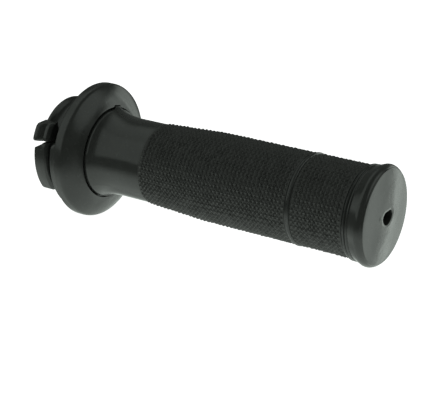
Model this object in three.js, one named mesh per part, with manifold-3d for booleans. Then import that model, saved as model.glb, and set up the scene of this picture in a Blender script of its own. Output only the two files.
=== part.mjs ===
// Throttle grip for a scooter or moped: a moulded throttle tube, with its cable drum and flange, and
// the moulded rubber sleeve that is bonded on it. The two pieces turn together on the handlebar.
// Millimetres. +X runs along the handlebar, from the throttle housing to the closed outer end; +Z is up.
// The origin is on the bore's axis, in the plane of the drum's inboard end.

import * as THREE from "three";
import { mergeVertices } from "three/addons/utils/BufferGeometryUtils.js";
import Module from "manifold-3d";

const wasm = await Module();
wasm.setup();

// Driving dimensions
const BAR_DIAMETER = 22;       // the handlebar that the tube turns on
const RUNNING_CLEARANCE = 0.3; // between handlebar and bore, on the radius
const TUBE_WALL = 1.7;
const BOND_GAP = 0.3;          // the bond line between tube and sleeve
const DRUM_LENGTH = 12;
const DRUM_RADIUS = 17;
const FLANGE_RADIUS = 25.2;
const FLANGE_THICKNESS = 2.9;  // of the rim, up to where its crown begins
const CROWN = { radius: 2.2, tilt: 50 };  // the rim's rounded edge, and its tilt where the face begins
const FACE = { radius: 15.7, tilt: 79 };  // the domed face, and its tilt at its inner edge
const NECK_RADIUS = 14.65;
const GRIP_RADIUS = 16.4;
const GRIP_LENGTH = 113.6;     // from the flange's face to the edge of the outer end
const LIP_RADIUS = 17.75;      // the flared lip round the outer end
const END_DOME = 0.9;
const END_WALL = 3.4;
const END_HOLE_RADIUS = 2.8;
const ROUND_STEPS = 60;        // facets round the axis

// Radii and stations that follow from them
const BORE_RADIUS = BAR_DIAMETER / 2 + RUNNING_CLEARANCE;
const BARREL_RADIUS = BORE_RADIUS + TUBE_WALL;
const SLEEVE_BORE = BARREL_RADIUS + BOND_GAP;
const sine = (degrees) => Math.sin(THREE.MathUtils.degToRad(degrees));
const cosine = (degrees) => Math.cos(THREE.MathUtils.degToRad(degrees));
const RIM_FRONT = DRUM_LENGTH + FLANGE_THICKNESS;
const CROWN_FRONT = RIM_FRONT + CROWN.radius * sine(CROWN.tilt);
const FACE_TOP = CROWN_FRONT + FACE.radius * (sine(FACE.tilt) - sine(CROWN.tilt));
const END_EDGE = FACE_TOP + GRIP_LENGTH;
const BARREL_END = END_EDGE - END_WALL - 1;

// The recess in the flange that the sleeve's foot stands in, and the sleeve's key in its notch
const FOOT_RADIUS = 16.5;
const SEAT_RADIUS = FOOT_RADIUS + 0.4;
const SEAT_FACE = FACE_TOP - 1.3;
const KEY = { angle: 75, width: 3, reach: 1 };
const KEY_CLEARANCE = 0.3;

// The cable drum. A low lip runs round its inboard end. Its fins stand on the side that faces -Y and
// end in planes square to Z, as the mould leaves them: a winding wall, broken by the slot that the cable
// enters through, a stop above the slot, and a lower guide against the flange. The cable lies in the
// groove between wall and guide, and its nipple in the pocket above the groove.
const LIP = { radius: 17.9, crest: 0.9, end: 4 };
const GROOVE = { start: 6, end: 9 };
const WALL = { radius: 21.4, low: -12.8, high: 6.4, lowEase: 0.8, highEase: 0.8 };
const SLOT = { low: 4.2, high: 6.8, depth: 3.6, floor: 12.2 };
const STOP = { radius: 22.6, low: 6.8, high: 13.1, lowEase: 2.2, highEase: 0.9 };
const GUIDE = { radius: 23.3, low: -16, high: 7, lowEase: 0.8, highEase: 1.4 };
const POCKET = { low: 6.6, high: 12.9, floorRadius: 13.6 };
const CORING = { wall: 1.4, depth: 9, from: 180, to: 480, count: 6, rib: 7 };

const plastic = new THREE.MeshStandardMaterial({ color: 0x3e4240, roughness: 0.34, metalness: 0 });
const rubber = new THREE.MeshStandardMaterial({ color: 0x2a2b29, roughness: 0.55, metalness: 0 });

// The lathe's axis and the extrusion's depth turned on to the part's X axis
const LATHE_TO_PART = new THREE.Matrix4().makeBasis(
  new THREE.Vector3(0, 1, 0), new THREE.Vector3(1, 0, 0), new THREE.Vector3(0, 0, -1));
const EXTRUSION_TO_PART = new THREE.Matrix4().makeBasis(
  new THREE.Vector3(0, 1, 0), new THREE.Vector3(0, 0, 1), new THREE.Vector3(1, 0, 0));

// ---- Outlines ----

// A point of a turned outline: its station along the axis and its radius.
const at = (station, radius) => new THREE.Vector2(radius, station);

// The rounded corner between two outline points. It leaves the first one along the axis or square to it.
function corner(from, to, leaveAlongAxis, steps = 3) {
  const points = [];
  for (let step = 0; step <= steps; step++) {
    const angle = (Math.PI / 2) * (step / steps);
    const early = Math.sin(angle);
    const late = 1 - Math.cos(angle);
    const axial = leaveAlongAxis ? early : late;
    const radial = leaveAlongAxis ? late : early;
    points.push(at(from.y + (to.y - from.y) * axial, from.x + (to.x - from.x) * radial));
  }
  return points;
}

// A smooth curve from one outline point to another that passes through a third between them.
function bend(from, through, to, steps = 4) {
  const control = through.clone().multiplyScalar(2).sub(from.clone().add(to).multiplyScalar(0.5));
  return new THREE.QuadraticBezierCurve(from, control, to).getPoints(steps);
}

// The point that an arc reaches when it turns from one tilt to another, in degrees from radial.
function along(start, radius, startTilt, tilt) {
  const station = start.y + radius * (sine(tilt) - sine(startTilt));
  return at(station, start.x - radius * (cosine(startTilt) - cosine(tilt)));
}

// A thin raised bead round the sleeve.
const bead = (start, width, foot, crown) =>
  bend(at(start, foot), at(start + width / 2, crown), at(start + width, foot), 3);

// ---- Solids ----

function toSolid(geometry) {
  geometry.deleteAttribute("normal");
  geometry.deleteAttribute("uv");
  const merged = mergeVertices(geometry);
  return new wasm.Manifold(new wasm.Mesh({
    numProp: 3,
    vertProperties: new Float32Array(merged.attributes.position.array),
    triVerts: new Uint32Array(merged.index.array),
  }));
}

function toMesh(name, solid, material) {
  const { numProp, vertProperties, triVerts } = solid.getMesh();
  const geometry = new THREE.BufferGeometry();
  geometry.setAttribute("position", new THREE.BufferAttribute(vertProperties, numProp));
  geometry.setIndex(new THREE.BufferAttribute(triVerts, 1));
  const mesh = new THREE.Mesh(geometry, material);
  mesh.name = name;
  return mesh;
}

// A hollow body turned about the X axis. Its outline runs along the outside, away from the housing,
// and back through the bore, and closes on its first point.
function turned(outline) {
  const lathe = new THREE.LatheGeometry([...outline, outline[0]], ROUND_STEPS);
  return toSolid(lathe.applyMatrix4(LATHE_TO_PART));
}

// A shape in the YZ plane, drawn out along X between two stations.
function drawnOut(shape, start, end, curveSegments) {
  const settings = { depth: end - start, bevelEnabled: false, curveSegments };
  const block = new THREE.ExtrudeGeometry(shape, settings);
  return toSolid(block.applyMatrix4(EXTRUSION_TO_PART).translate(start, 0, 0));
}

// A block between two corners.
function box(low, high) {
  const size = high.map((value, axis) => value - low[axis]);
  const middle = high.map((value, axis) => (value + low[axis]) / 2);
  return toSolid(new THREE.BoxGeometry(...size).translate(...middle));
}

// A fin on the drum's -Y side, between two heights, with eased corners. It is rooted inside the drum.
function fin({ radius, low, high, lowEase, highEase }, start, end) {
  const root = -(BARREL_RADIUS + 0.5);
  const edge = (height) => -Math.sqrt(radius ** 2 - height ** 2);
  const angle = (height) => Math.PI - Math.asin(height / radius);
  const shape = new THREE.Shape();
  shape.moveTo(root, high);
  shape.lineTo(edge(high) + highEase, high);
  shape.quadraticCurveTo(edge(high), high, edge(high - highEase), high - highEase);
  shape.absarc(0, 0, radius, angle(high - highEase), angle(low + lowEase), false);
  shape.quadraticCurveTo(edge(low), low, edge(low) + lowEase, low);
  shape.lineTo(root, low);
  return drawnOut(shape, start, end, 8);
}

// A block that bends round the X axis, between two radii, two angles in degrees and two stations.
function arcBlock(inner, outer, fromAngle, toAngle, start, end) {
  const from = THREE.MathUtils.degToRad(fromAngle);
  const to = THREE.MathUtils.degToRad(toAngle);
  const shape = new THREE.Shape();
  shape.absarc(0, 0, outer, from, to, false);
  shape.absarc(0, 0, inner, to, from, true);
  return drawnOut(shape, start, end, Math.ceil((toAngle - fromAngle) * ROUND_STEPS / 360));
}

// A small block on the sleeve's foot, turned to the key's angle.
function keyBlock(innerRadius, outerRadius, width, start, end) {
  const block = new THREE.BoxGeometry(end - start, outerRadius - innerRadius, width);
  block.translate((start + end) / 2, (innerRadius + outerRadius) / 2, 0);
  return toSolid(block.rotateX(THREE.MathUtils.degToRad(KEY.angle)));
}

// ---- Throttle tube: cable drum, flange and barrel in one moulding ----

// The flange's crown and domed face: two arcs that lean from the rim's radial face towards the axis.
function flangeFront(steps = 4) {
  const points = [];
  let start = at(RIM_FRONT, FLANGE_RADIUS);
  let startTilt = 0;
  for (const { radius, tilt } of [CROWN, FACE]) {
    for (let step = 0; step < steps; step++) {
      points.push(along(start, radius, startTilt, startTilt + (tilt - startTilt) * (step / steps)));
    }
    start = along(start, radius, startTilt, tilt);
    startTilt = tilt;
  }
  return [...points, start];
}

function tubeOutline() {
  const lipChamfer = 0.5;
  const rimRound = 1;
  const seatChamfer = 0.4;
  return [
    at(0, BORE_RADIUS),
    at(0, LIP.radius - lipChamfer),
    at(lipChamfer, LIP.radius),
    at(LIP.crest, LIP.radius),
    at(LIP.end, DRUM_RADIUS),
    at(DRUM_LENGTH, DRUM_RADIUS),
    ...corner(at(DRUM_LENGTH, FLANGE_RADIUS - rimRound), at(DRUM_LENGTH + rimRound, FLANGE_RADIUS), false),
    ...flangeFront(),
    at(FACE_TOP - seatChamfer, SEAT_RADIUS),
    at(SEAT_FACE, SEAT_RADIUS),
    at(SEAT_FACE, BARREL_RADIUS),
    at(BARREL_END, BARREL_RADIUS),
    at(BARREL_END, BORE_RADIUS),
  ];
}

function throttleTube() {
  const overlap = 0.5; // how far a cut or a joined block runs past the face it meets
  const outside = -(GUIDE.radius + 1);
  const keyNotch = keyBlock(
    SEAT_RADIUS - overlap, FOOT_RADIUS + KEY.reach + KEY_CLEARANCE,
    KEY.width + 2 * KEY_CLEARANCE, SEAT_FACE, FACE_TOP + overlap);
  const floorCircle = new THREE.Shape().absarc(0, 0, POCKET.floorRadius, 0, 2 * Math.PI);
  const pocketFloor = drawnOut(floorCircle, GROOVE.start - overlap, DRUM_LENGTH + overlap, ROUND_STEPS / 2);
  const pocket = box([GROOVE.start, outside, POCKET.low], [DRUM_LENGTH, 0, POCKET.high])
    .subtract(pocketFloor);
  let tube = turned(tubeOutline())
    .add(fin(WALL, 0, GROOVE.start))
    .add(fin(STOP, 0, GROOVE.start))
    .add(fin(GUIDE, GROOVE.end, DRUM_LENGTH + overlap))
    .subtract(box([-overlap, outside, SLOT.low], [SLOT.depth, -SLOT.floor, SLOT.high]))
    .subtract(pocket)
    .subtract(keyNotch);
  const pitch = (CORING.to - CORING.from) / CORING.count;
  const coringInner = BARREL_RADIUS + 0.2;
  for (let index = 0; index < CORING.count; index++) {
    const from = CORING.from + index * pitch;
    tube = tube.subtract(arcBlock(
      coringInner, DRUM_RADIUS - CORING.wall, from, from + pitch - CORING.rib, -overlap, CORING.depth));
  }
  return tube;
}

// ---- Grip rubber: foot, neck, two knurled bands with a ring between them, collar and closed end ----

function sleeveOutline() {
  const foot = SEAT_FACE + BOND_GAP;
  const flareMiddle = at(FACE_TOP + 4.8, 15.2);
  const flareEnd = at(FACE_TOP + 9.8, NECK_RADIUS);
  const knurlStart = FACE_TOP + 22.7;
  const taperEnd = FACE_TOP + 46.3;
  const ring = FACE_TOP + 84.5;
  const collar = FACE_TOP + 105.2;
  const grooveRadius = GRIP_RADIUS - 0.8;
  const beadFoot = GRIP_RADIUS - 0.3;
  const beadCrown = GRIP_RADIUS + 0.4;
  const lipStart = END_EDGE - 2;
  return [
    at(foot, SLEEVE_BORE),
    ...corner(at(foot, FOOT_RADIUS - 0.8), at(FACE_TOP + 0.3, FOOT_RADIUS), false, 2),
    ...bend(at(FACE_TOP + 1, FOOT_RADIUS), flareMiddle, flareEnd, 5),
    at(knurlStart, NECK_RADIUS),
    at(knurlStart + 0.3, NECK_RADIUS + 0.5),
    at(taperEnd, GRIP_RADIUS),
    at(ring - 1, GRIP_RADIUS),
    at(ring - 1, grooveRadius),
    at(ring, grooveRadius),
    ...bead(ring, 1.2, beadFoot, GRIP_RADIUS + 0.1),
    at(ring + 1.2, GRIP_RADIUS),
    at(collar, GRIP_RADIUS),
    at(collar, grooveRadius),
    at(collar + 0.5, grooveRadius),
    ...bead(collar + 0.5, 1.1, beadFoot, beadCrown),
    ...bead(collar + 1.7, 1.1, beadFoot, beadCrown + 0.1),
    ...bend(
      at(collar + 2.8, GRIP_RADIUS + 0.3), at(collar + 4, GRIP_RADIUS + 0.6),
      at(lipStart - 1, LIP_RADIUS - 0.1), 3),
    ...corner(at(lipStart, LIP_RADIUS), at(END_EDGE, LIP_RADIUS - 1.7), true, 4),
    ...bend(
      at(END_EDGE + 0.1, LIP_RADIUS - 2.2), at(END_EDGE + 0.7 * END_DOME, 9),
      at(END_EDGE + END_DOME, END_HOLE_RADIUS), 4),
    at(END_EDGE - END_WALL, END_HOLE_RADIUS),
    at(END_EDGE - END_WALL, SLEEVE_BORE),
  ];
}

function gripRubber() {
  const key = keyBlock(
    SLEEVE_BORE + 1, FOOT_RADIUS + KEY.reach, KEY.width, SEAT_FACE + KEY_CLEARANCE, FACE_TOP + 0.2);
  return turned(sleeveOutline()).add(key);
}

const throttleGrip = new THREE.Group();
throttleGrip.name = "throttle_grip";
throttleGrip.add(
  toMesh("throttle_tube", throttleTube(), plastic),
  toMesh("grip_rubber", gripRubber(), rubber),
);

export default throttleGrip;
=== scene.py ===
"""The looks of the scooter throttle grip: a moulded nylon throttle tube under a moulded, knurled rubber
sleeve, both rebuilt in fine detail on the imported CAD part, in a white studio."""

import math

import bpy
import numpy as np
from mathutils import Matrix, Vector


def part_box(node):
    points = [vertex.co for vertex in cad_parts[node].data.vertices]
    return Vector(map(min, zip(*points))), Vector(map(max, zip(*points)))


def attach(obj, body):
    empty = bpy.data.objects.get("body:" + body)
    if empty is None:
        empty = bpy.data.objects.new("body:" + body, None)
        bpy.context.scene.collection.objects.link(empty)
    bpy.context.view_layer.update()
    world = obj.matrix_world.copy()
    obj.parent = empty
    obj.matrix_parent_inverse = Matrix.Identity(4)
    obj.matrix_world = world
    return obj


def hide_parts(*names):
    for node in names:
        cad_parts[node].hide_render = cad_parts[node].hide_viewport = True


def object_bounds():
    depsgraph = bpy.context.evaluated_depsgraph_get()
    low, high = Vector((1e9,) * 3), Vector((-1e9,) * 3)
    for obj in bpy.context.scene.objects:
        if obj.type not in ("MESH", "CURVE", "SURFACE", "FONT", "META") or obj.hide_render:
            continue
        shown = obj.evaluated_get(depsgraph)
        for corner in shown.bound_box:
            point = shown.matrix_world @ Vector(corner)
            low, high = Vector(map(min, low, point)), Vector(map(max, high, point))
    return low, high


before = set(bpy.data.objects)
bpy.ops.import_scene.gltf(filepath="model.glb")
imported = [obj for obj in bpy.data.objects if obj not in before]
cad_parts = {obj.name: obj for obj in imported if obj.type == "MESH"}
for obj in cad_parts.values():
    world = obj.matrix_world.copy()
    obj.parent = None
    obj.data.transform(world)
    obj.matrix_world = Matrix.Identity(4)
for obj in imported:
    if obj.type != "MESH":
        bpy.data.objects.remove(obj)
cad_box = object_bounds()

MM = 0.001  # sizes below are in millimetres, and meshes are made in metres

# ---- Sizes that the CAD's boxes give ----

tube_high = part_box("throttle_tube")[1] / MM
sleeve_low, sleeve_high = (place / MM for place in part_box("grip_rubber"))
BARREL_END = tube_high.x
FLANGE_RADIUS = tube_high.z
FOOT = sleeve_low.x
PART_END = sleeve_high.x

# ---- The other sizes, as in the CAD ----

BORE_RADIUS = 11.3
BARREL_RADIUS = 13.0
SLEEVE_BORE = 13.3
DRUM_LENGTH = 12.0
LIP_RADIUS, LIP_CREST, LIP_END = 17.9, 0.9, 4.0  # the low lip round the drum's inboard end
RIM_FRONT = 14.9
CROWN_RADIUS, CROWN_TILT = 2.2, 50.0             # the flange's rounded edge, and where it ends
FACE_RADIUS, FACE_TILT = 15.7, 79.0              # its domed face
SEAT_RADIUS = 16.9
SEAT_DEPTH = 1.3
FOOT_RADIUS = 16.5
NECK_RADIUS = 14.65
GRIP_RADIUS = 16.4
END_LIP_RADIUS = 17.75
END_DOME = 0.9
END_WALL = 3.4
END_HOLE_RADIUS = 2.8
BOND_GAP = 0.3
END_EDGE = PART_END - END_DOME
SEAT_FACE = FOOT - BOND_GAP
FACE_TOP = SEAT_FACE + SEAT_DEPTH

GROOVE_START, GROOVE_END = 6.0, 9.0
WALL_RADIUS, WALL_LOW, WALL_HIGH = 21.4, -12.8, 6.4
STOP_RADIUS, STOP_LOW, STOP_HIGH = 22.6, 6.8, 13.1
GUIDE_RADIUS, GUIDE_LOW, GUIDE_HIGH = 23.3, -16.0, 7.0
GUIDE_SLOPE = 0.85                               # rise of the guide's top towards the flange
SLOT_LOW, SLOT_HIGH, SLOT_DEPTH, SLOT_FLOOR = 4.2, 6.8, 3.6, 12.2
POCKET_LOW, POCKET_HIGH, POCKET_FLOOR = 6.6, 12.9, 13.6
KEY_ANGLE, KEY_WIDTH, KEY_REACH, KEY_CLEARANCE = 75.0, 3.0, 1.0, 0.3
CORING_WALL, CORING_DEPTH, CORING_COUNT = 1.2, 9.0, 6
CORING_FROM, CORING_TO, CORING_RIB = 180.0, 480.0, 7.0  # angles in degrees, as the key's is

KNURL_START = FACE_TOP + 22.7
TAPER_END = FACE_TOP + 46.3
RING = FACE_TOP + 84.5
COLLAR = FACE_TOP + 105.2
RING_GROOVE = 0.8                                # depth of the grooves beside ring and collar

# ---- Fine detail that the CAD leaves out ----

CHANNEL_RADIUS = 15.7                            # floor of the cable's channel round the drum
DIAMONDS_ROUND = 50                              # knurl diamonds round the grip
CELLS = 5                                        # mesh cells to a diamond, each way
STEPS = DIAMONDS_ROUND * CELLS
DIAMOND_LENGTH = 1.6                             # along the grip
KNURL_DEPTH = 0.54
KNURL_CAP = 0.75                                 # share of the full diamond's height left on its top
KNURL_SHORTFALL = 0.45                           # how far short the least filled diamonds are
PARTING_ANGLES = (-149.0, 31.0)                  # where the sleeve's mould halves met
PARTING_HEIGHT = 0.07
HOLE_WIDER, HOLE_POINT = 0.14, 0.06              # how far the end hole is from round
EDGE_BEVEL = 0.15                                # on the tube's moulded edges
SHARP_EDGE = math.radians(38)                    # edges that fold more than this are bevelled
SMOOTH_ANGLE = math.radians(31)                  # edges that fold less than this are shaded smooth

ANGLES = np.linspace(0, 2 * math.pi, STEPS, endpoint=False)


# ---- Outlines: lists of (station, radius) ----

def bend(start, through, end, steps):
    """Points of a smooth curve from start to end that passes through a point between them."""
    start, through, end = np.array(start, float), np.array(through, float), np.array(end, float)
    control = 2 * through - (start + end) / 2
    share = np.linspace(0, 1, steps + 1)[:, None]
    points = (1 - share) ** 2 * start + 2 * share * (1 - share) * control + share ** 2 * end
    return [tuple(point) for point in points]


def corner(start, end, along_first, steps=5):
    """Points of a rounded corner that leaves start along the axis, or square to it, and ends at end."""
    points = []
    for step in range(steps + 1):
        angle = math.pi / 2 * step / steps
        early, late = math.sin(angle), 1 - math.cos(angle)
        axial, radial = (early, late) if along_first else (late, early)
        points.append((start[0] + (end[0] - start[0]) * axial, start[1] + (end[1] - start[1]) * radial))
    return points


def tilted_arc(start, radius, start_tilt, end_tilt, steps):
    """Points of an arc that leans from start towards the axis, between two tilts in degrees."""
    points = []
    for tilt in np.radians(np.linspace(start_tilt, end_tilt, steps + 1)):
        first = math.radians(start_tilt)
        points.append((start[0] + radius * (math.sin(tilt) - math.sin(first)),
                       start[1] - radius * (math.cos(first) - math.cos(tilt))))
    return points


def arc(radius, from_angle, to_angle, steps):
    """Points in Y and Z on a circle, between two angles in degrees."""
    angles = np.radians(np.linspace(from_angle, to_angle, steps + 1))
    return [(radius * math.cos(angle), radius * math.sin(angle)) for angle in angles]


# ---- Meshes ----

def signed_volume(mesh):
    mesh.calc_loop_triangles()
    points = np.empty(len(mesh.vertices) * 3)
    mesh.vertices.foreach_get("co", points)
    corners = np.empty(len(mesh.loop_triangles) * 3, int)
    mesh.loop_triangles.foreach_get("vertices", corners)
    a, b, c = points.reshape(-1, 3)[corners.reshape(-1, 3)].transpose(1, 0, 2)
    return float(np.einsum("ij,ij->i", a, np.cross(b, c)).sum() / 6)


def make_object(name, points, faces):
    """A mesh object from points in millimetres, with its faces turned outwards."""
    mesh = bpy.data.meshes.new(name)
    mesh.from_pydata((np.asarray(points) * MM).tolist(), [], faces)
    made = bpy.data.objects.new(name, mesh)
    bpy.context.scene.collection.objects.link(made)
    if signed_volume(mesh) < 0:
        mesh.flip_normals()
    return made


def smooth(piece):
    piece.data.polygons.foreach_set("use_smooth", np.ones(len(piece.data.polygons), bool))
    piece.data.set_sharp_from_angle(angle=SMOOTH_ANGLE)


def on_ring(station, radii):
    """Points at one station round the X axis, at the given radius for each step."""
    return np.stack([np.full(STEPS, station), radii * np.cos(ANGLES), radii * np.sin(ANGLES)], 1)


def band_faces(below, above):
    """Quads between two rings of points, given the index of each one's first point."""
    after = (np.arange(STEPS) + 1) % STEPS
    return np.stack([below + np.arange(STEPS), below + after, above + after, above + np.arange(STEPS)], 1)


def turned(name, outline):
    """A body turned about the X axis from a closed outline."""
    points = np.concatenate([on_ring(station, np.full(STEPS, radius)) for station, radius in outline])
    rows = len(outline)
    faces = np.concatenate([band_faces(row * STEPS, (row + 1) % rows * STEPS) for row in range(rows)])
    return make_object(name, points, faces.tolist())


def loft(name, rings):
    """A solid through rings of (station, outline in Y and Z), with flat ends."""
    count = len(rings[0][1])
    points = [np.column_stack([np.full(count, station), outline]) for station, outline in rings]
    faces = [tuple(reversed(range(count)))]
    for row in range(len(rings) - 1):
        below, above = row * count, (row + 1) * count
        for index in range(count):
            after = (index + 1) % count
            faces.append((below + index, below + after, above + after, above + index))
    last = (len(rings) - 1) * count
    faces.append(tuple(range(last, last + count)))
    return make_object(name, np.concatenate(points), faces)


def combine(base, other, operation):
    """Joins another solid to the base solid, or cuts it away, and removes the other."""
    modifier = base.modifiers.new(operation, "BOOLEAN")
    modifier.operation = operation
    modifier.solver = "MANIFOLD"
    modifier.object = other
    apply_modifiers(base)
    bpy.data.objects.remove(other)


def apply_modifiers(piece):
    bpy.context.view_layer.update()
    evaluated = piece.evaluated_get(bpy.context.evaluated_depsgraph_get())
    result = bpy.data.meshes.new_from_object(evaluated)
    piece.modifiers.clear()
    piece.data = result


# ---- Throttle tube ----

def tube_outline():
    crown_start = (RIM_FRONT, FLANGE_RADIUS)
    crown = tilted_arc(crown_start, CROWN_RADIUS, 0, CROWN_TILT, 8)
    face = tilted_arc(crown[-1], FACE_RADIUS, CROWN_TILT, FACE_TILT, 10)
    return [
        *corner((0.5, BORE_RADIUS), (0, BORE_RADIUS + 0.5), True, 3),
        *corner((0, LIP_RADIUS - 0.5), (0.5, LIP_RADIUS), False, 5),
        (LIP_CREST, LIP_RADIUS),
        *bend((LIP_CREST + 0.4, LIP_RADIUS - 0.03), (LIP_CREST + 0.9, LIP_RADIUS - 0.6),
              (LIP_CREST + 1.4, CHANNEL_RADIUS + 1), 4),
        *bend((LIP_CREST + 1.7, CHANNEL_RADIUS + 0.85), (LIP_END, CHANNEL_RADIUS + 0.3),
              (GROOVE_START + 0.5, CHANNEL_RADIUS), 5),
        *corner((DRUM_LENGTH - 0.6, CHANNEL_RADIUS), (DRUM_LENGTH, CHANNEL_RADIUS + 0.6), True, 5),
        *corner((DRUM_LENGTH, FLANGE_RADIUS - 1), (DRUM_LENGTH + 1, FLANGE_RADIUS), False, 6),
        *crown,
        *face[1:],
        *corner((FACE_TOP, SEAT_RADIUS + 0.3), (FACE_TOP - 0.3, SEAT_RADIUS), False, 3),
        (SEAT_FACE, SEAT_RADIUS),
        (SEAT_FACE, BARREL_RADIUS),
        (BARREL_END - 0.4, BARREL_RADIUS),
        (BARREL_END, BARREL_RADIUS - 0.4),
        (BARREL_END, BORE_RADIUS),
    ]


def offset(outline, distance):
    """A closed counterclockwise outline in Y and Z, moved inwards by a distance."""
    points = np.array(outline, float)
    edges = np.roll(points, -1, 0) - points
    edges /= np.linalg.norm(edges, axis=1)[:, None]
    outwards = np.stack([edges[:, 1], -edges[:, 0]], 1)
    before = np.roll(outwards, 1, 0)
    share = 1 + (before * outwards).sum(1)
    return points - distance * (before + outwards) / share[:, None]


def fin_outline(radius, low, high, low_ease, high_ease):
    """The outline of a fin on the drum's -Y side, between two heights, with eased corners."""
    root = -(BARREL_RADIUS + 0.5)

    def edge(height):
        return -math.sqrt(radius ** 2 - height ** 2)

    def angle(height):
        return 180 - math.degrees(math.asin(height / radius))

    def eased_corner(height, ease):
        """From the flat side at a height to the round edge, ease further in."""
        return bend((edge(height) + abs(ease), height),
                    (edge(height) + 0.25 * abs(ease), height - 0.25 * ease),
                    (edge(height - ease), height - ease), 5)

    top = eased_corner(high, high_ease)
    side = arc(radius, angle(high - high_ease), angle(low + low_ease), 24)[1:-1]
    bottom = eased_corner(low, -low_ease)[::-1]
    return [(root, high), *top, *side, *bottom, (root, low)]


def rounded_end(station, direction, length, depth, steps=5):
    """(station, inset) pairs that round a solid's end over a length, from its face inwards."""
    pairs = []
    for step in range(steps + 1):
        angle = math.pi / 2 * step / steps
        pairs.append((station + direction * length * (1 - math.cos(angle)), depth * (1 - math.sin(angle))))
    return pairs


def fin(sections, low, high, low_ease, high_ease):
    """A fin from (station, radius, inset) sections along X, each with its own height if that is given."""
    rings = []
    for station, radius, inset, *own_high in sections:
        outline = fin_outline(radius, low, own_high[0] if own_high else high, low_ease, high_ease)
        rings.append((station, offset(outline, inset)))
    return loft("fin", rings)


def block(low, high):
    """A block between two corners."""
    outline = [(low[1], low[2]), (high[1], low[2]), (high[1], high[2]), (low[1], high[2])]
    return loft("block", [(low[0], outline), (high[0], outline)])


def key_block(inner, outer, width, start, end):
    """A block square to the key's angle, between two radii."""
    angle = math.radians(KEY_ANGLE)
    outward = np.array([math.cos(angle), math.sin(angle)])
    across = np.array([-math.sin(angle), math.cos(angle)]) * width / 2
    outline = [inner * outward - across, outer * outward - across,
               outer * outward + across, inner * outward + across]
    return loft("key", [(start, outline), (end, outline)])


def build_tube():
    overlap = 0.5  # how far a cut or a joined block runs past the face it meets
    piece = turned("throttle_tube_visual", tube_outline())

    groove_edge = [(GROOVE_START - 1, WALL_RADIUS, 0), (GROOVE_START, WALL_RADIUS - 1.2, 0)]
    wall = [(station, WALL_RADIUS, inset) for station, inset in rounded_end(0, 1, 1.2, 1.2)] + groove_edge
    combine(piece, fin(wall, WALL_LOW, WALL_HIGH, 0.8, 0.8), "UNION")

    stop = [(station, STOP_RADIUS, inset) for station, inset in rounded_end(0, 1, 0.5, 0.5)]
    stop += [(station, STOP_RADIUS - fall, 0) for station, fall in
             ((1.5, 0.15), (2.3, 0.5), (3.0, 1.0), (SLOT_DEPTH, 1.6))]
    stop += [(SLOT_DEPTH + 0.2, WALL_RADIUS, 0), *groove_edge]
    combine(piece, fin(stop, STOP_LOW, STOP_HIGH, 2.2, 0.9), "UNION")

    outside = -(GUIDE_RADIUS + 1)
    slot = block((-overlap, outside, SLOT_LOW), (SLOT_DEPTH, -SLOT_FLOOR, SLOT_HIGH))
    combine(piece, slot, "DIFFERENCE")

    pocket = block((GROOVE_START, outside, POCKET_LOW), (DRUM_LENGTH, 0, POCKET_HIGH))
    floor = arc(POCKET_FLOOR, 0, 360, STEPS // 2)[:-1]
    combine(pocket, loft("floor", [(GROOVE_START - 1, floor), (DRUM_LENGTH + 1, floor)]), "DIFFERENCE")
    combine(piece, pocket, "DIFFERENCE")

    guide = [(station, GUIDE_RADIUS, inset, GUIDE_HIGH + GUIDE_SLOPE * (station - GROOVE_END))
             for station, inset in rounded_end(GROOVE_END, 1, 0.7, 0.7)]
    guide_rise = GUIDE_SLOPE * (DRUM_LENGTH - GROOVE_END)
    guide.append((DRUM_LENGTH + overlap, GUIDE_RADIUS, 0, GUIDE_HIGH + guide_rise))
    combine(piece, fin(guide, GUIDE_LOW, GUIDE_HIGH, 0.8, 1.0), "UNION")

    notch = key_block(SEAT_RADIUS - overlap, FOOT_RADIUS + KEY_REACH + KEY_CLEARANCE,
                      KEY_WIDTH + 2 * KEY_CLEARANCE, SEAT_FACE, FACE_TOP + overlap)
    combine(piece, notch, "DIFFERENCE")

    pitch = (CORING_TO - CORING_FROM) / CORING_COUNT
    for index in range(CORING_COUNT):
        start = CORING_FROM + index * pitch
        end = start + pitch - CORING_RIB
        outline = (arc(CHANNEL_RADIUS - CORING_WALL, start, end, 24)
                   + arc(BARREL_RADIUS + 0.2, end, start, 24))
        combine(piece, loft("coring", [(-overlap, outline), (CORING_DEPTH, outline)]), "DIFFERENCE")

    bevel = piece.modifiers.new("moulded_edges", "BEVEL")
    bevel.width = EDGE_BEVEL * MM
    bevel.segments = 2
    bevel.limit_method = "ANGLE"
    bevel.angle_limit = SHARP_EDGE
    bevel.use_clamp_overlap = True
    apply_modifiers(piece)
    return piece


# ---- Grip rubber ----

def bead(start, width, foot, crown):
    return bend((start, foot), (start + width / 2, crown), (start + width, foot), 6)


def foot_and_neck():
    return [
        (FOOT, SLEEVE_BORE),
        *corner((FOOT, FOOT_RADIUS - 0.8), (FACE_TOP + 0.3, FOOT_RADIUS), False, 5),
        *bend((FACE_TOP + 1, FOOT_RADIUS), (FACE_TOP + 4.8, 15.2), (FACE_TOP + 9.8, NECK_RADIUS), 14),
        (FACE_TOP + 12, NECK_RADIUS),
        (KNURL_START - 0.4, NECK_RADIUS),
    ]


def ring_outline():
    foot = GRIP_RADIUS - KNURL_DEPTH
    groove = GRIP_RADIUS - RING_GROOVE
    return [
        (RING - 0.95, foot),
        *corner((RING - 0.9, foot - 0.05), (RING - 0.65, groove), False, 4),
        (RING - 0.1, groove),
        *bead(RING, 1.1, GRIP_RADIUS - 0.35, GRIP_RADIUS + 0.12),
        (RING + 1.15, foot),
    ]


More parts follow.
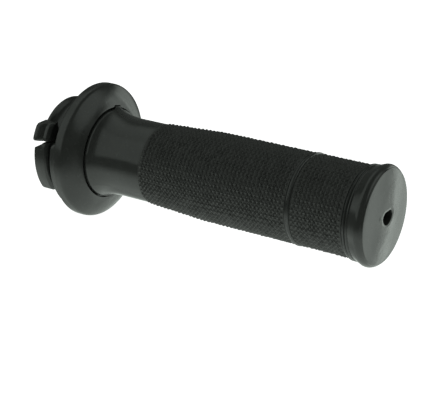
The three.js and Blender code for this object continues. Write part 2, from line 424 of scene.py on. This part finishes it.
def collar_outline():
    foot = GRIP_RADIUS - KNURL_DEPTH
    groove = GRIP_RADIUS - RING_GROOVE
    lip_start = END_EDGE - 2
    return [
        *corner((COLLAR + 0.05, foot - 0.02), (COLLAR + 0.2, groove), False, 3),
        (COLLAR + 0.45, groove),
        *bead(COLLAR + 0.55, 1.15, GRIP_RADIUS - 0.15, GRIP_RADIUS + 0.4),
        *bead(COLLAR + 1.75, 1.05, GRIP_RADIUS + 0.1, GRIP_RADIUS + 0.45),
        (COLLAR + 2.85, GRIP_RADIUS + 0.2),
        *bend((lip_start - 0.9, END_LIP_RADIUS - 0.1), (lip_start - 0.5, END_LIP_RADIUS),
              (lip_start, END_LIP_RADIUS), 4)[:-1],
        *bend((lip_start, END_LIP_RADIUS), (END_EDGE - 1.05, END_LIP_RADIUS - 0.33),
              (END_EDGE - 0.45, END_LIP_RADIUS - 0.9), 7),
        *corner((END_EDGE - 0.42, END_LIP_RADIUS - 0.94), (END_EDGE, END_LIP_RADIUS - 1.55), True, 5),
        *bend((END_EDGE + 0.1, END_LIP_RADIUS - 2.2), (END_EDGE + 0.7 * END_DOME, 9),
              (END_EDGE + END_DOME, END_HOLE_RADIUS + 0.4), 12),
        *corner((PART_END, END_HOLE_RADIUS + 0.35), (PART_END - 0.35, END_HOLE_RADIUS), False, 3)[1:],
        (END_EDGE - END_WALL, END_HOLE_RADIUS),
        (END_EDGE - END_WALL, SLEEVE_BORE),
    ]


def knurl_heights(rows):
    """Heights from 0 to 1 over a band of knurl. Only whole diamonds stand, so its ends are zigzags."""
    row, column = np.mgrid[0:rows + 1, 0:STEPS]
    across, back = column + row, column - row  # grooves run where either is a multiple of CELLS

    def ridge(cells):
        return 1 - np.abs(2 * (cells / CELLS % 1) - 1)

    middle_row = (across // CELLS - back // CELLS) * CELLS / 2
    whole = (middle_row >= CELLS / 2) & (middle_row <= rows - CELLS / 2)
    heights = np.minimum(np.minimum(ridge(across), ridge(back)) / KNURL_CAP, 1)
    fills = np.random.default_rng(rows).uniform(1 - KNURL_SHORTFALL, 1, (DIAMONDS_ROUND, DIAMONDS_ROUND))
    heights *= fills[across // CELLS % DIAMONDS_ROUND, back // CELLS % DIAMONDS_ROUND]
    return np.where(whole, heights, 0)


def knurl_faces(first, heights):
    """Triangles of a knurled band. Each cell is split along the fold of its groove or ridge."""
    faces = []
    for row in range(len(heights) - 1):
        quads = band_faces(first + row * STEPS, first + (row + 1) * STEPS)
        near, far = heights[row], heights[row + 1]
        after_near, after_far = np.roll(near, -1), np.roll(far, -1)
        rising = (near == after_far) & ((after_near != far) | (near <= far))
        for quad, split in zip(quads.tolist(), rising):
            a, b, c, d = quad
            faces += [(a, b, c), (a, c, d)] if split else [(a, b, d), (b, c, d)]
    return faces


def crest_radius(station):
    """Radius over the tops of the knurl."""
    return np.interp(station, [KNURL_START, TAPER_END], [NECK_RADIUS + 0.5, GRIP_RADIUS])


def shaped_radii(station, radius):
    """The radius at each step round a smooth row, with the key, the parting lines and the end hole."""
    radii = np.full(STEPS, radius)
    degrees = np.degrees(ANGLES)
    if FOOT + 0.2 < station < FACE_TOP + 0.35 and radius > BARREL_RADIUS + 1:
        half_width = math.degrees(KEY_WIDTH / 2 / FOOT_RADIUS)
        radii[np.abs(degrees - KEY_ANGLE) < half_width] = FOOT_RADIUS + KEY_REACH
    if FACE_TOP + 1 < station < KNURL_START and radius > BARREL_RADIUS + 1:
        for angle in PARTING_ANGLES:
            radii[np.argmin(np.abs((degrees - angle + 180) % 360 - 180))] += PARTING_HEIGHT
    if radius < 2 * END_HOLE_RADIUS:
        radii *= 1 + HOLE_WIDER * np.cos(2 * ANGLES) + HOLE_POINT * np.sin(3 * ANGLES)
    return radii


def build_sleeve():
    points, faces, knurled, crests = [], [], [], []

    def add_row(station, radii, is_knurl, heights):
        points.append(on_ring(station, radii))
        knurled.append(np.full(STEPS, float(is_knurl)))
        crests.append(heights)

    def add_smooth(outline):
        for station, radius in outline:
            if points:
                faces.extend(band_faces((len(points) - 1) * STEPS, len(points) * STEPS).tolist())
            add_row(station, shaped_radii(station, radius), False, np.ones(STEPS))

    def add_knurl(start, end):
        rows = round((end - start) / DIAMOND_LENGTH * CELLS)
        heights = knurl_heights(rows)
        faces.extend(band_faces((len(points) - 1) * STEPS, len(points) * STEPS).tolist())
        faces.extend(knurl_faces(len(points) * STEPS, heights))
        for station, row in zip(np.linspace(start, end, rows + 1), heights):
            add_row(station, crest_radius(station) - KNURL_DEPTH * (1 - row), True, row)

    add_smooth(foot_and_neck())
    add_knurl(KNURL_START, RING - 1)
    add_smooth(ring_outline())
    add_knurl(RING + 1.2, COLLAR)
    add_smooth(collar_outline())
    faces.extend(band_faces((len(points) - 1) * STEPS, 0).tolist())

    piece = make_object("grip_rubber_visual", np.concatenate(points), faces)
    for name, values in (("knurl", knurled), ("crest", crests)):
        attribute = piece.data.attributes.new(name, "FLOAT", "POINT")
        attribute.data.foreach_set("value", np.concatenate(values))
    return piece


# ---- Materials ----

class Nodes:
    """Adds nodes to one material or world, and links them."""

    def __init__(self, owner):
        owner.use_nodes = True
        self.tree = owner.node_tree

    def add(self, kind, **settings):
        node = self.tree.nodes.new(kind)
        for setting, value in settings.items():
            setattr(node, setting, value)
        return node

    def link(self, source, target):
        self.tree.links.new(source, target)

    def feed(self, target, value):
        """Links a socket to an input, or sets the input to a number."""
        if isinstance(value, bpy.types.NodeSocket):
            self.link(value, target)
        else:
            target.default_value = value

    def math(self, operation, first, second=0.0):
        node = self.add("ShaderNodeMath", operation=operation)
        self.feed(node.inputs[0], first)
        self.feed(node.inputs[1], second)
        return node.outputs[0]

    def spread(self, value, low, high, to_low, to_high, smoothly=False):
        """A value mapped from one range to another, and held at its ends."""
        node = self.add("ShaderNodeMapRange", clamp=True)
        node.interpolation_type = "SMOOTHSTEP" if smoothly else "LINEAR"
        for index, item in enumerate((value, low, high, to_low, to_high)):
            self.feed(node.inputs[index], item)
        return node.outputs[0]

    def noise(self, coordinate, size, detail=3.0, roughness=0.55):
        """Noise from 0 to 1, with features of a size in millimetres."""
        node = self.add("ShaderNodeTexNoise")
        self.link(coordinate, node.inputs["Vector"])
        node.inputs["Scale"].default_value = 1 / (size * MM)
        node.inputs["Detail"].default_value = detail
        node.inputs["Roughness"].default_value = roughness
        return node.outputs["Fac"]

    def blend(self, share, first, second):
        """A colour between two colours."""
        node = self.add("ShaderNodeMix", data_type="RGBA")
        self.feed(node.inputs["Factor"], share)
        for name, value in (("A", first), ("B", second)):
            socket = next(s for s in node.inputs if s.name == name and s.type == "RGBA")
            self.feed(socket, value if isinstance(value, bpy.types.NodeSocket) else (*value, 1))
        return next(s for s in node.outputs if s.type == "RGBA")

    def edges(self, width):
        """How much the surface bends within a width in millimetres: 1 on an edge, 0 where it is flat."""
        rounded = self.add("ShaderNodeBevel", samples=4)
        rounded.inputs["Radius"].default_value = width * MM
        cosine = self.add("ShaderNodeVectorMath", operation="DOT_PRODUCT")
        self.link(rounded.outputs["Normal"], cosine.inputs[0])
        self.link(self.add("ShaderNodeNewGeometry").outputs["Normal"], cosine.inputs[1])
        return self.spread(cosine.outputs["Value"], 0.85, 0.99, 1, 0)

    def bump(self, height, distance, normal=None):
        """A surface normal from a height from 0 to 1, over a distance in millimetres."""
        node = self.add("ShaderNodeBump")
        node.inputs["Distance"].default_value = distance * MM
        self.link(height, node.inputs["Height"])
        if normal:
            self.link(normal, node.inputs["Normal"])
        return node.outputs["Normal"]


MOTTLE_SIZE = 9.0
SCUFF_SIZE = 1.7
WEAR_SIZE = 3.0                       # of the patches where edges are more worn, or less
WORN_WIDTH = 0.3                      # of a worn edge
WAVE_SIZE, WAVE_DEPTH = 6.0, 0.07     # of the slight unevenness of a moulded surface
SCUFF_SHARE, WORN_SHARE = 0.35, 0.6   # how far scuffs and worn edges take the edge's colour
WORN_POLISH = 0.06                    # how much smoother a worn edge is
GRAIN_ROUGHNESS = 0.03                # how much the grain changes the roughness, up or down
SUNK_ROUGHNESS = 0.1                  # how much rougher the bottoms of the knurl's grooves are


def moulded(name, colours, roughness, grain, edge_colour, knurling=()):
    """A moulded black surface. Colours and roughness are pairs that a soft mottle moves between; grain is
    the size and depth in millimetres of its fine texture. Exposed edges are worn paler and smoother.
    Knurling is the colour of the knurl's grooves and the knurl's roughness, on a piece that has one."""
    material = bpy.data.materials.new(name)
    nodes = Nodes(material)
    shader = material.node_tree.nodes["Principled BSDF"]
    place = nodes.add("ShaderNodeTexCoord").outputs["Object"]

    mottle = nodes.spread(nodes.noise(place, MOTTLE_SIZE, 4.0, 0.6), 0.35, 0.65, 0, 1)
    fine = nodes.noise(place, grain[0], 2.0)
    scuffs = nodes.spread(nodes.noise(place, SCUFF_SIZE, 6.0, 0.7), 0.56, 0.72, 0, 1)
    colour = nodes.blend(mottle, *colours)
    colour = nodes.blend(nodes.math("MULTIPLY", scuffs, SCUFF_SHARE), colour, edge_colour)

    patches = nodes.spread(nodes.noise(place, WEAR_SIZE, 4.0), 0.3, 0.6, 0.25, 1)
    worn = nodes.math("MULTIPLY", nodes.edges(WORN_WIDTH), patches)
    colour = nodes.blend(nodes.math("MULTIPLY", worn, WORN_SHARE), colour, edge_colour)

    rough = nodes.spread(mottle, 0, 1, *roughness)
    rough = nodes.math("ADD", rough, nodes.spread(fine, 0.3, 0.7, -GRAIN_ROUGHNESS, GRAIN_ROUGHNESS))
    rough = nodes.math("SUBTRACT", rough, nodes.math("MULTIPLY", worn, WORN_POLISH))

    if knurling:
        groove_colour, knurl_roughness = knurling
        knurl = nodes.add("ShaderNodeAttribute", attribute_name="knurl").outputs["Fac"]
        crest = nodes.add("ShaderNodeAttribute", attribute_name="crest").outputs["Fac"]
        sunk = nodes.math("MULTIPLY", knurl, nodes.math("SUBTRACT", 1.0, crest))
        colour = nodes.blend(sunk, colour, groove_colour)
        knurl_rough = nodes.math("ADD", knurl_roughness, nodes.math("MULTIPLY", sunk, SUNK_ROUGHNESS))
        rough = nodes.math("ADD", nodes.math("MULTIPLY", rough, nodes.math("SUBTRACT", 1.0, knurl)),
                           nodes.math("MULTIPLY", knurl_rough, knurl))

    waves = nodes.bump(nodes.noise(place, WAVE_SIZE, 2.0), WAVE_DEPTH, nodes.bump(fine, grain[1]))
    nodes.link(colour, shader.inputs["Base Color"])
    nodes.link(rough, shader.inputs["Roughness"])
    nodes.link(waves, shader.inputs["Normal"])
    shader.inputs["IOR"].default_value = 1.5
    return material


# ---- Studio ----

CAMERA_AZIMUTH = 33.03
CAMERA_ELEVATION = 22.37
CAMERA_DISTANCE = 0.5              # in metres
CAMERA_VIEW_ANGLE = 17.12
CAMERA_AIM = (4.47, -9.14, -4.54)  # from the middle of the part's box
FLOOR_SIZE = 3000                  # from its middle to its edges
FLOOR_GAP = 0.3                    # between the part and the floor
LIGHT_COLOUR = (0.91, 1.0, 0.93)
ROOM_GLOW = 0.08

# Each light is a strength and its limits, as patch in add_world takes them.
UP, LEFT, FRONT = (0, 0, 1), (-1, 0, 0), (0, -1, 0)
ACROSS = (0.930, -0.367, 0)        # along the backdrop, to the right
BACKDROP = (((0.367, 0.930, 0), 0.2, 0.45), (UP, 0.35, 0.15))
FOLD = (*BACKDROP, (UP, -0.8, -0.45))
SOFT_LIGHTS = (
    (0.97, (UP, -0.14, -0.60)),                                           # white table
    (0.61, (LEFT, -0.02, 0.16), (FRONT, -0.1, 0.35), (UP, 0.04, 0.2)),    # diffuser on the left
    (0.50, (UP, 0.5, 0.85), (LEFT, -0.05, 0.3)),                          # its top, over the part
    (0.72, ((0.797, 0.348, 0.494), 0.82, 0.97)),                          # softbox behind, on the right
    (0.90, *BACKDROP, (ACROSS, -0.6, -0.3), (ACROSS, 0.42, 0.32)),        # backdrop
)
LIGHT_AND_SHADE = (
    (0.25, *FOLD, (ACROSS, -0.3, -0.15), (ACROSS, 0.0, -0.04)),           # the backdrop's three folds
    (1.20, *FOLD, (ACROSS, -0.055, -0.02), (ACROSS, 0.055, 0.02)),
    (0.60, *FOLD, (ACROSS, 0.13, 0.24), (ACROSS, 0.42, 0.34)),
    (-0.45, ((-0.73, 0.24, -0.64), 0.90, 0.98)),                          # the part's shadow
)


def add_camera():
    """The camera, at its distance from the point that it aims at. Azimuth 0 looks along +Y."""
    data = bpy.data.cameras.new("camera")
    data.angle = math.radians(CAMERA_VIEW_ANGLE)
    data.clip_start, data.clip_end = 0.01, 20
    azimuth, elevation = math.radians(CAMERA_AZIMUTH), math.radians(CAMERA_ELEVATION)
    back = Vector((math.sin(azimuth) * math.cos(elevation), -math.cos(azimuth) * math.cos(elevation),
                   math.sin(elevation)))
    camera = bpy.data.objects.new("camera", data)
    camera.rotation_mode = "QUATERNION"
    camera.location = (cad_box[0] + cad_box[1]) / 2 + Vector(CAMERA_AIM) * MM + back * CAMERA_DISTANCE
    camera.rotation_quaternion = (-back).to_track_quat("-Z", "Y")
    bpy.context.scene.collection.objects.link(camera)
    bpy.context.scene.camera = camera


def add_floor():
    """A white floor under the part, which the camera sees but the part's gloss doesn't mirror."""
    height = cad_box[0].z / MM - FLOOR_GAP
    size = FLOOR_SIZE
    mesh = bpy.data.meshes.new("floor")
    corners = [(-size, -size, height), (size, -size, height), (size, size, height), (-size, size, height)]
    mesh.from_pydata((np.array(corners) * MM).tolist(), [], [(0, 1, 2, 3)])
    floor = bpy.data.objects.new("floor", mesh)
    bpy.context.scene.collection.objects.link(floor)
    floor.visible_glossy = False
    floor.visible_diffuse = False
    material = bpy.data.materials.new("lit_floor")
    material.use_nodes = True
    shader = material.node_tree.nodes["Principled BSDF"]
    shader.inputs["Base Color"].default_value = (0.8, 0.8, 0.8, 1)
    shader.inputs["Roughness"].default_value = 0.9
    shader.inputs["Emission Color"].default_value = (1, 1, 1, 1)
    shader.inputs["Emission Strength"].default_value = 1.0
    mesh.materials.append(material)


def add_world():
    """The studio's soft light, by direction. The part's gloss mirrors it; the camera sees plain white."""
    world = bpy.data.worlds.new("studio")
    nodes = Nodes(world)
    background = world.node_tree.nodes["Background"]
    direction = nodes.add("ShaderNodeTexCoord").outputs["Generated"]

    def patch(strength, *limits):
        """A light of a strength inside its limits. Each limit is an axis, the cosine from that axis where
        the light begins, and the cosine where it is full."""
        glow = strength
        for axis, begins, full in limits:
            cosine = nodes.add("ShaderNodeVectorMath", operation="DOT_PRODUCT")
            nodes.link(direction, cosine.inputs[0])
            cosine.inputs[1].default_value = Vector(axis).normalized()
            if begins < full:
                fade = nodes.spread(cosine.outputs["Value"], begins, full, 0, 1, True)
            else:
                fade = nodes.spread(cosine.outputs["Value"], full, begins, 1, 0, True)
            glow = nodes.math("MULTIPLY", fade, glow)
        return glow

    glow = ROOM_GLOW
    for light in SOFT_LIGHTS:
        glow = nodes.math("MAXIMUM", glow, patch(*light))
    for light in LIGHT_AND_SHADE:
        glow = nodes.math("ADD", glow, patch(*light))

    seen = nodes.add("ShaderNodeLightPath").outputs["Is Camera Ray"]
    nodes.link(nodes.blend(seen, LIGHT_COLOUR, (1, 1, 1)), background.inputs["Color"])
    nodes.link(nodes.math("MAXIMUM", glow, seen), background.inputs["Strength"])
    bpy.context.scene.world = world


# ---- The scene ----

tube = build_tube()
sleeve = build_sleeve()
nylon = moulded("moulded_nylon",
                colours=((0.043, 0.0445, 0.042), (0.052, 0.054, 0.051)), roughness=(0.17, 0.23),
                grain=(0.25, 0.006), edge_colour=(0.11, 0.114, 0.11))
rubber = moulded("moulded_rubber",
                 colours=((0.045, 0.0465, 0.044), (0.054, 0.056, 0.053)), roughness=(0.12, 0.17),
                 grain=(0.3, 0.005), edge_colour=(0.10, 0.104, 0.10),
                 knurling=((0.052, 0.053, 0.050), 0.45))

for piece, node, slot, material in ((tube, "throttle_tube", "tube_plastic", nylon),
                                    (sleeve, "grip_rubber", "grip_rubber", rubber)):
    piece.data.materials.clear()
    piece.data.materials.append(material)
    smooth(piece)
    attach(piece, "root")
    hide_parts(node)

add_camera()
add_floor()
add_world()
bpy.context.scene.view_settings.view_transform = "Standard"
